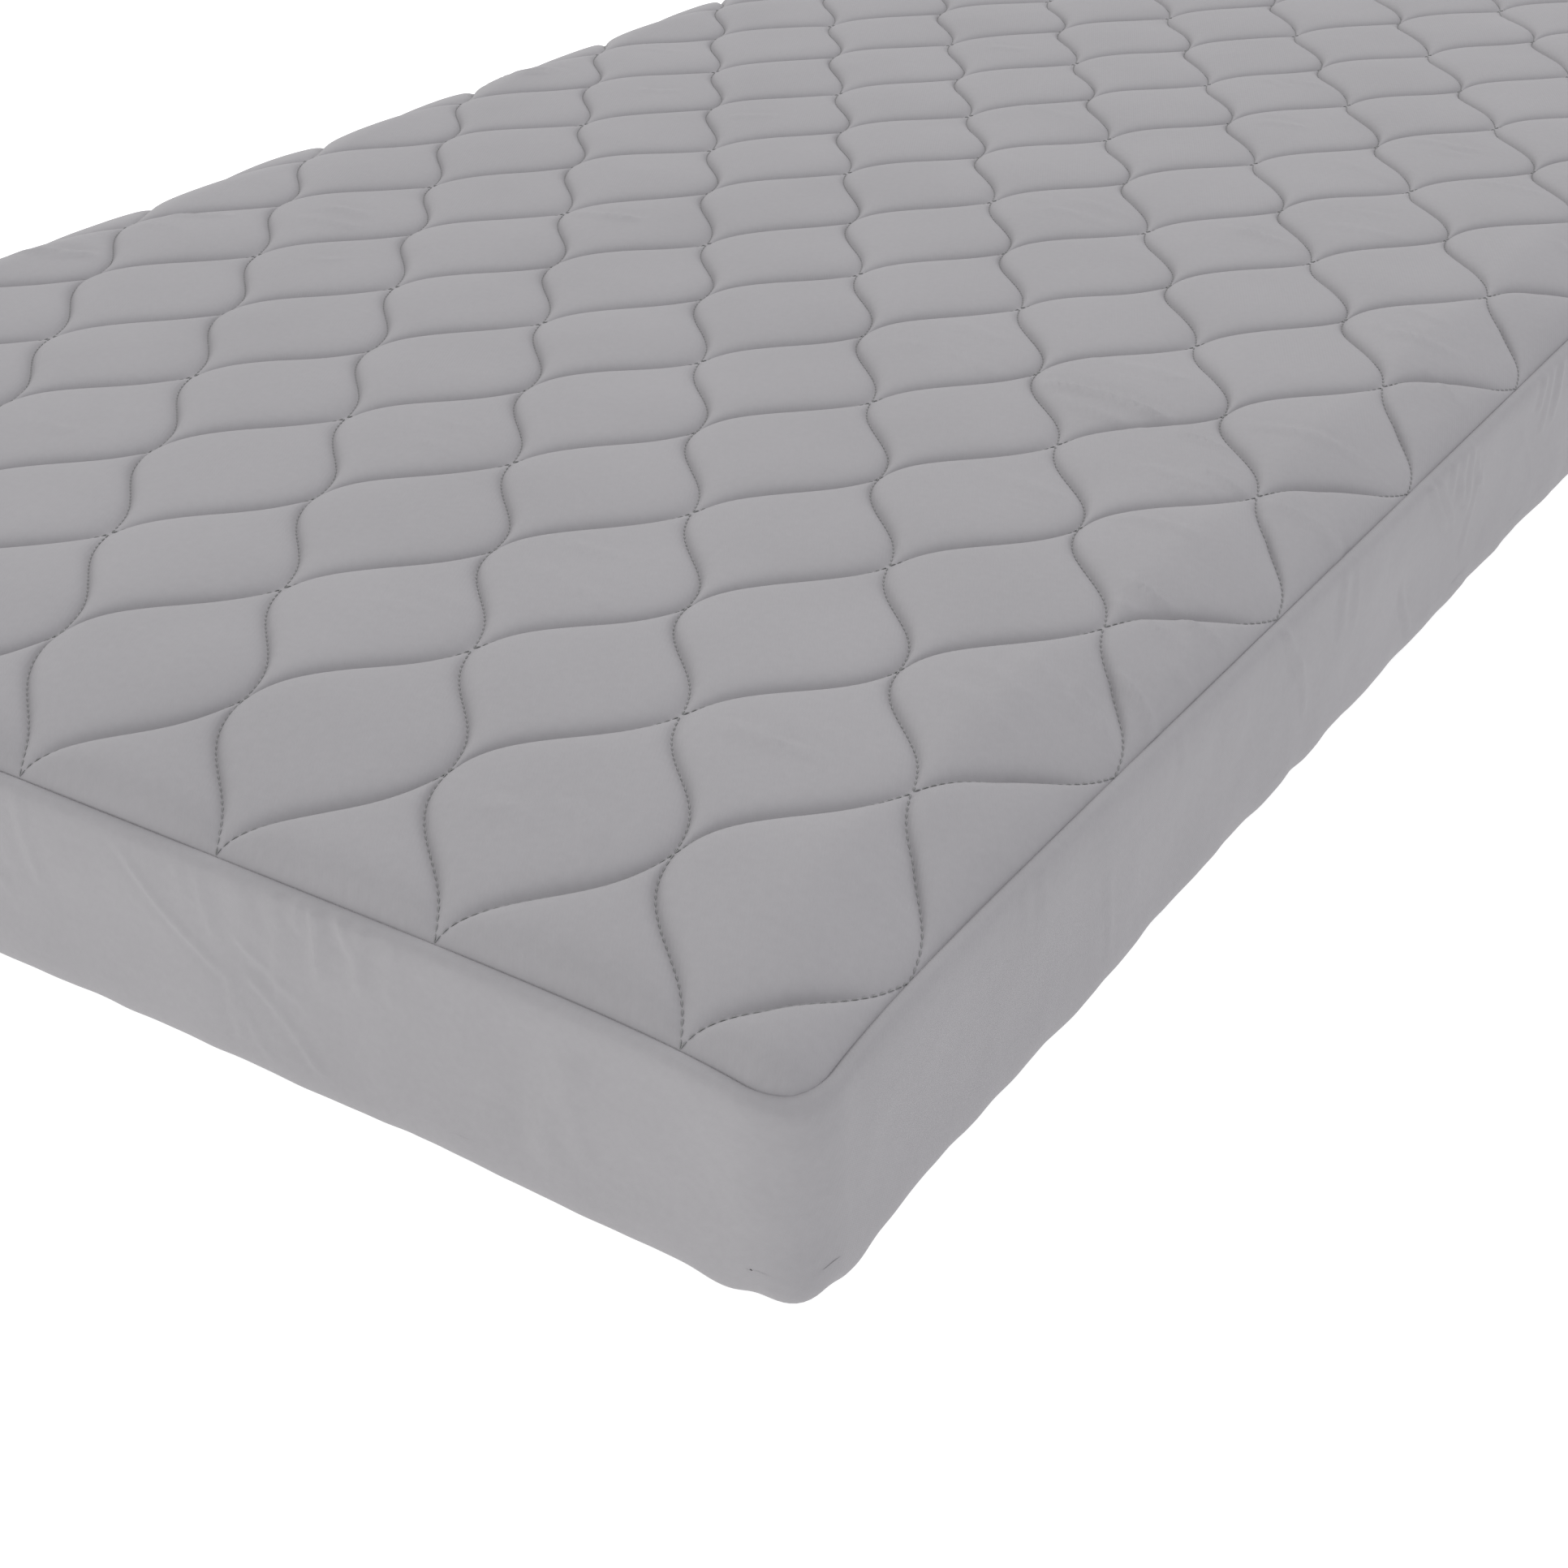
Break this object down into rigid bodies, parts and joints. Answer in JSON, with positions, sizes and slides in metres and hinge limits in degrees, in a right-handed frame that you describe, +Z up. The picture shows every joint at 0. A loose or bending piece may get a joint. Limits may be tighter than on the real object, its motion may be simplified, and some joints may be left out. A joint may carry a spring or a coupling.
{
  "type": "pressure relief mattress",
  "caption": "Single foam pressure relief mattress in a fitted, ogee-quilted grey cover with a plain elasticated skirt; folds in sections to follow a profiling bed.",
  "frame": {"origin": "centre of the underside, on the plane that the mattress lies on", "axes": "+Z up, +Y along the length towards the head end, +X across the width"},
  "size_m": [0.88, 2, 0.13],
  "materials": {
    "quilted_face_fabric": "matt knitted polyester with a slight sheen, quilted in grey thread",
    "skirt_fabric": "matt knitted polyester, plain",
    "hem_fabric": "matt knitted polyester, folded to a tube",
    "quilt_backing_fabric": "thin white spunbond",
    "fibre_wadding": "loose white polyester fibre",
    "elastic_band": "white woven elastic",
    "sleeve_stretch_fabric": "pale two-way stretch fabric, satin",
    "sleeve_base_fabric": "dark coated base fabric, matt",
    "base_foam": "open-cell polyurethane foam, pale grey",
    "relief_foam": "slow-recovery open-cell foam, cream",
    "heel_foam": "soft open-cell foam, pale blue",
    "bolster_foam": "firm open-cell polyurethane foam, grey"
  },
  "bodies": {
    "seat_section": {"quilt_face_seat": "quilted_face_fabric", "quilt_wadding_seat": "fibre_wadding", "quilt_backing_seat": "quilt_backing_fabric", "skirt_seat": "skirt_fabric", "hem_casing_seat": "hem_fabric", "hem_elastic_seat": "elastic_band", "sleeve_top_seat": "sleeve_stretch_fabric", "sleeve_base_seat": "sleeve_base_fabric", "bolster_left_seat": "bolster_foam", "bolster_right_seat": "bolster_foam", "base_foam_seat": "base_foam", "relief_foam_seat": "relief_foam"},
    "back_section": {"quilt_face_back": "quilted_face_fabric", "quilt_wadding_back": "fibre_wadding", "quilt_backing_back": "quilt_backing_fabric", "skirt_back": "skirt_fabric", "hem_casing_back": "hem_fabric", "hem_elastic_back": "elastic_band", "sleeve_top_back": "sleeve_stretch_fabric", "sleeve_base_back": "sleeve_base_fabric", "bolster_left_back": "bolster_foam", "bolster_right_back": "bolster_foam", "base_foam_back": "base_foam", "relief_foam_back": "relief_foam"},
    "thigh_section": {"quilt_face_thigh": "quilted_face_fabric", "quilt_wadding_thigh": "fibre_wadding", "quilt_backing_thigh": "quilt_backing_fabric", "skirt_thigh": "skirt_fabric", "hem_casing_thigh": "hem_fabric", "hem_elastic_thigh": "elastic_band", "sleeve_top_thigh": "sleeve_stretch_fabric", "sleeve_base_thigh": "sleeve_base_fabric", "bolster_left_thigh": "bolster_foam", "bolster_right_thigh": "bolster_foam", "base_foam_thigh": "base_foam", "relief_foam_thigh": "relief_foam"},
    "calf_section": {"quilt_face_calf": "quilted_face_fabric", "quilt_wadding_calf": "fibre_wadding", "quilt_backing_calf": "quilt_backing_fabric", "skirt_calf": "skirt_fabric", "hem_casing_calf": "hem_fabric", "hem_elastic_calf": "elastic_band", "sleeve_top_calf": "sleeve_stretch_fabric", "sleeve_base_calf": "sleeve_base_fabric", "bolster_left_calf": "bolster_foam", "bolster_right_calf": "bolster_foam", "base_foam_calf": "base_foam", "relief_foam_calf": "relief_foam", "heel_foam": "heel_foam"}
  },
  "joints": [
    {"name": "backrest_fold", "type": "hinge", "parent": "seat_section", "child": "back_section", "pos_m": [0, 0.25, 0.134], "axis": [1, 0, 0], "range_deg": [0, 70], "stiffness_Nm_per_rad": 20},
    {"name": "thigh_fold", "type": "hinge", "parent": "seat_section", "child": "thigh_section", "pos_m": [0, 0, 0.134], "axis": [-1, 0, 0], "range_deg": [0, 35], "stiffness_Nm_per_rad": 20},
    {"name": "knee_fold", "type": "hinge", "parent": "thigh_section", "child": "calf_section", "pos_m": [0, -0.333, 0.045], "axis": [1, 0, 0], "range_deg": [0, 35], "stiffness_Nm_per_rad": 20}
  ]
}
